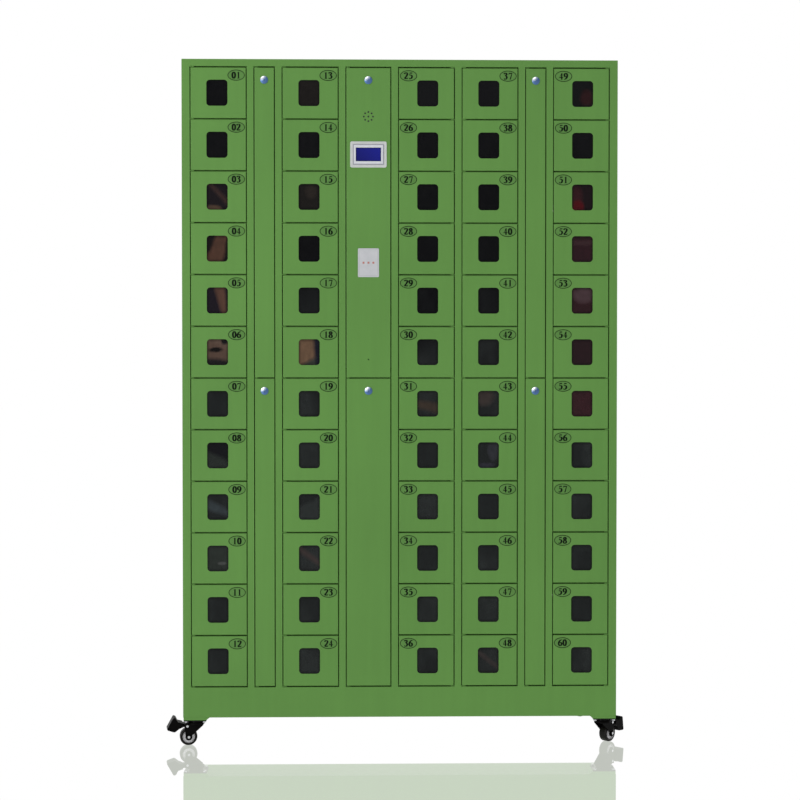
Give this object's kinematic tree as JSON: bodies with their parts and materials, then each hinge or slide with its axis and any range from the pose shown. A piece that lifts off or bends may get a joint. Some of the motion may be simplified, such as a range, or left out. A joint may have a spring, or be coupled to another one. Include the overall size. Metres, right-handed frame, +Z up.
{
  "type": "phone charging kiosk",
  "caption": "Wheeled sheet-steel phone charging locker: rows of small windowed compartment doors, tall service doors between the columns, a display and a card reader plate.",
  "frame": {"origin": "on the floor, under the middle of the cabinet's width and depth", "axes": "+Z up, +Y from the door side to the back panel, +X to the right seen from the door side"},
  "size_m": [1.3305, 0.4159, 1.964],
  "materials": {
    "cabinet_paint": "satin green powder coat",
    "door_paint": "satin green powder coat",
    "inner_paint": "satin green powder coat",
    "window_pane": "smoked clear sheet",
    "lock_chrome": "polished",
    "black_plastic": "fine texture",
    "zinc_steel": "zinc plated",
    "board_laminate": "solder mask",
    "loom_sleeve": "braided sleeve",
    "bezel_plastic": "light grey, fine texture",
    "display_glass": "dark blue display",
    "card_label": "light grey, satin",
    "caster_steel": "gloss black",
    "caster_tread": "moulded black nylon",
    "pedal_plastic": "moulded black"
  },
  "bodies": {
    "cabinet": {"back_panel": "cabinet_paint", "bay_partitions": "inner_paint", "bottom_panel": "cabinet_paint", "cable_trunking": "black_plastic", "caster_bolts": "zinc_steel", "caster_pads": "cabinet_paint", "caster_top_plates": "caster_steel", "circuit_boards": "board_laminate", "compartment_backs": "inner_paint", "compartment_shelves": "inner_paint", "door_pivots": "cabinet_paint", "electric_locks": "zinc_steel", "equipment_plate": "inner_paint", "front_frame": "cabinet_paint", "left_side_panel": "cabinet_paint", "panel_screws": "zinc_steel", "power_inlet": "black_plastic", "power_supplies": "zinc_steel", "right_side_panel": "cabinet_paint", "top_panel": "cabinet_paint", "usb_sockets": "black_plastic", "wiring_looms": "loom_sleeve"},
    "column_1_doors": {"column_1_doors": "door_paint", "column_1_windows": "window_pane"},
    "column_2_doors": {"column_2_doors": "door_paint", "column_2_windows": "window_pane"},
    "column_3_doors": {"column_3_doors": "door_paint", "column_3_windows": "window_pane"},
    "column_4_doors": {"column_4_doors": "door_paint", "column_4_windows": "window_pane"},
    "column_5_doors": {"column_5_doors": "door_paint", "column_5_windows": "window_pane"},
    "door_19": {"door_19": "door_paint", "door_19_window": "window_pane"},
    "left_upper_service_door": {"left_upper_service_door": "door_paint"},
    "left_upper_service_lock": {"left_upper_service_lock": "lock_chrome"},
    "left_lower_service_door": {"left_lower_service_door": "door_paint"},
    "left_lower_service_lock": {"left_lower_service_lock": "lock_chrome"},
    "centre_upper_service_door": {"centre_upper_service_door": "door_paint", "display_bezel": "bezel_plastic", "display_panel": "display_glass", "card_reader": "card_label", "speaker": "black_plastic"},
    "centre_upper_service_lock": {"centre_upper_service_lock": "lock_chrome"},
    "centre_lower_service_door": {"centre_lower_service_door": "door_paint"},
    "centre_lower_service_lock": {"centre_lower_service_lock": "lock_chrome"},
    "right_upper_service_door": {"right_upper_service_door": "door_paint"},
    "right_upper_service_lock": {"right_upper_service_lock": "lock_chrome"},
    "right_lower_service_door": {"right_lower_service_door": "door_paint"},
    "right_lower_service_lock": {"right_lower_service_lock": "lock_chrome"},
    "front_left_caster_fork": {"front_left_caster_fork": "caster_steel"},
    "front_left_caster_wheel": {"front_left_caster_wheel": "caster_tread"},
    "front_left_caster_pedal": {"front_left_caster_pedal": "pedal_plastic"},
    "front_right_caster_fork": {"front_right_caster_fork": "caster_steel"},
    "front_right_caster_wheel": {"front_right_caster_wheel": "caster_tread"},
    "front_right_caster_pedal": {"front_right_caster_pedal": "pedal_plastic"},
    "rear_left_caster_fork": {"rear_left_caster_fork": "caster_steel"},
    "rear_left_caster_wheel": {"rear_left_caster_wheel": "caster_tread"},
    "rear_right_caster_fork": {"rear_right_caster_fork": "caster_steel"},
    "rear_right_caster_wheel": {"rear_right_caster_wheel": "caster_tread"}
  },
  "joints": [
    {"name": "column_1_hinge", "type": "hinge", "parent": "cabinet", "child": "column_1_doors", "pos_m": [-0.5918, -0.195, 1.057], "axis": [0, 0, -1], "range_deg": [0, 110]},
    {"name": "column_2_hinge", "type": "hinge", "parent": "cabinet", "child": "column_2_doors", "pos_m": [-0.3303, -0.195, 1.057], "axis": [0, 0, -1], "range_deg": [0, 110]},
    {"name": "column_3_hinge", "type": "hinge", "parent": "cabinet", "child": "column_3_doors", "pos_m": [0.1488, -0.195, 1.057], "axis": [0, 0, 1], "range_deg": [0, 90]},
    {"name": "column_4_hinge", "type": "hinge", "parent": "cabinet", "child": "column_4_doors", "pos_m": [0.1827, -0.195, 1.057], "axis": [0, 0, -1], "range_deg": [0, 90]},
    {"name": "column_5_hinge", "type": "hinge", "parent": "cabinet", "child": "column_5_doors", "pos_m": [0.5918, -0.195, 1.057], "axis": [0, 0, 1], "range_deg": [0, 110]},
    {"name": "door_19_hinge", "type": "hinge", "parent": "cabinet", "child": "door_19", "pos_m": [-0.3303, -0.195, 0.98325], "axis": [0, 0, -1], "range_deg": [0, 110]},
    {"name": "left_upper_service_hinge", "type": "hinge", "parent": "cabinet", "child": "left_upper_service_door", "pos_m": [-0.4103, -0.195, 1.498], "axis": [0, 0, -1], "range_deg": [0, 110]},
    {"name": "left_upper_service_cam", "type": "hinge", "parent": "left_upper_service_door", "child": "left_upper_service_lock", "pos_m": [-0.38725, -0.2, 1.905], "axis": [0, 1, 0], "range_deg": [0, 90]},
    {"name": "left_lower_service_hinge", "type": "hinge", "parent": "cabinet", "child": "left_lower_service_door", "pos_m": [-0.4103, -0.195, 0.613], "axis": [0, 0, -1], "range_deg": [0, 110]},
    {"name": "left_lower_service_cam", "type": "hinge", "parent": "left_lower_service_door", "child": "left_lower_service_lock", "pos_m": [-0.38725, -0.2, 1.02], "axis": [0, 1, 0], "range_deg": [0, 90]},
    {"name": "centre_upper_service_hinge", "type": "hinge", "parent": "cabinet", "child": "centre_upper_service_door", "pos_m": [-0.1488, -0.195, 1.498], "axis": [0, 0, -1], "range_deg": [0, 95]},
    {"name": "centre_upper_service_cam", "type": "hinge", "parent": "centre_upper_service_door", "child": "centre_upper_service_lock", "pos_m": [-0.09075, -0.2, 1.905], "axis": [0, 1, 0], "range_deg": [0, 90]},
    {"name": "centre_lower_service_hinge", "type": "hinge", "parent": "cabinet", "child": "centre_lower_service_door", "pos_m": [-0.1488, -0.195, 0.613], "axis": [0, 0, -1], "range_deg": [0, 110]},
    {"name": "centre_lower_service_cam", "type": "hinge", "parent": "centre_lower_service_door", "child": "centre_lower_service_lock", "pos_m": [-0.09075, -0.2, 1.02], "axis": [0, 1, 0], "range_deg": [0, 90]},
    {"name": "right_upper_service_hinge", "type": "hinge", "parent": "cabinet", "child": "right_upper_service_door", "pos_m": [0.3642, -0.195, 1.498], "axis": [0, 0, -1], "range_deg": [0, 110]},
    {"name": "right_upper_service_cam", "type": "hinge", "parent": "right_upper_service_door", "child": "right_upper_service_lock", "pos_m": [0.38725, -0.2, 1.905], "axis": [0, 1, 0], "range_deg": [0, 90]},
    {"name": "right_lower_service_hinge", "type": "hinge", "parent": "cabinet", "child": "right_lower_service_door", "pos_m": [0.3642, -0.195, 0.613], "axis": [0, 0, -1], "range_deg": [0, 110]},
    {"name": "right_lower_service_cam", "type": "hinge", "parent": "right_lower_service_door", "child": "right_lower_service_lock", "pos_m": [0.38725, -0.2, 1.02], "axis": [0, 1, 0], "range_deg": [0, 90]},
    {"name": "front_left_caster_swivel", "type": "hinge", "parent": "cabinet", "child": "front_left_caster_fork", "pos_m": [-0.5885, -0.1665, 0.063], "axis": [0, 0, 1], "continuous": true},
    {"name": "front_left_caster_axle", "type": "hinge", "parent": "front_left_caster_fork", "child": "front_left_caster_wheel", "pos_m": [-0.61017, -0.17032, 0.025], "axis": [0.1736, -0.9848, 0], "continuous": true},
    {"name": "front_left_caster_brake", "type": "hinge", "parent": "front_left_caster_fork", "child": "front_left_caster_pedal", "pos_m": [-0.61411, -0.17102, 0.056], "axis": [0.1736, -0.9848, 0], "range_deg": [0, 22], "stiffness_Nm_per_rad": 1},
    {"name": "front_right_caster_swivel", "type": "hinge", "parent": "cabinet", "child": "front_right_caster_fork", "pos_m": [0.5885, -0.1665, 0.063], "axis": [0, 0, 1], "continuous": true},
    {"name": "front_right_caster_axle", "type": "hinge", "parent": "front_right_caster_fork", "child": "front_right_caster_wheel", "pos_m": [0.60378, -0.15068, 0.025], "axis": [-0.7193, 0.6947, 0], "continuous": true},
    {"name": "front_right_caster_brake", "type": "hinge", "parent": "front_right_caster_fork", "child": "front_right_caster_pedal", "pos_m": [0.60656, -0.1478, 0.056], "axis": [-0.7193, 0.6947, 0], "range_deg": [-22, 0]},
    {"name": "rear_left_caster_swivel", "type": "hinge", "parent": "cabinet", "child": "rear_left_caster_fork", "pos_m": [-0.5885, 0.1665, 0.063], "axis": [0, 0, 1], "continuous": true},
    {"name": "rear_left_caster_axle", "type": "hinge", "parent": "rear_left_caster_fork", "child": "rear_left_caster_wheel", "pos_m": [-0.5775, 0.18555, 0.025], "axis": [-0.866, 0.5, 0], "continuous": true},
    {"name": "rear_right_caster_swivel", "type": "hinge", "parent": "cabinet", "child": "rear_right_caster_fork", "pos_m": [0.5885, 0.1665, 0.063], "axis": [0, 0, 1], "continuous": true},
    {"name": "rear_right_caster_axle", "type": "hinge", "parent": "rear_right_caster_fork", "child": "rear_right_caster_wheel", "pos_m": [0.57048, 0.17912, 0.025], "axis": [-0.5736, -0.8192, 0], "continuous": true}
  ]
}
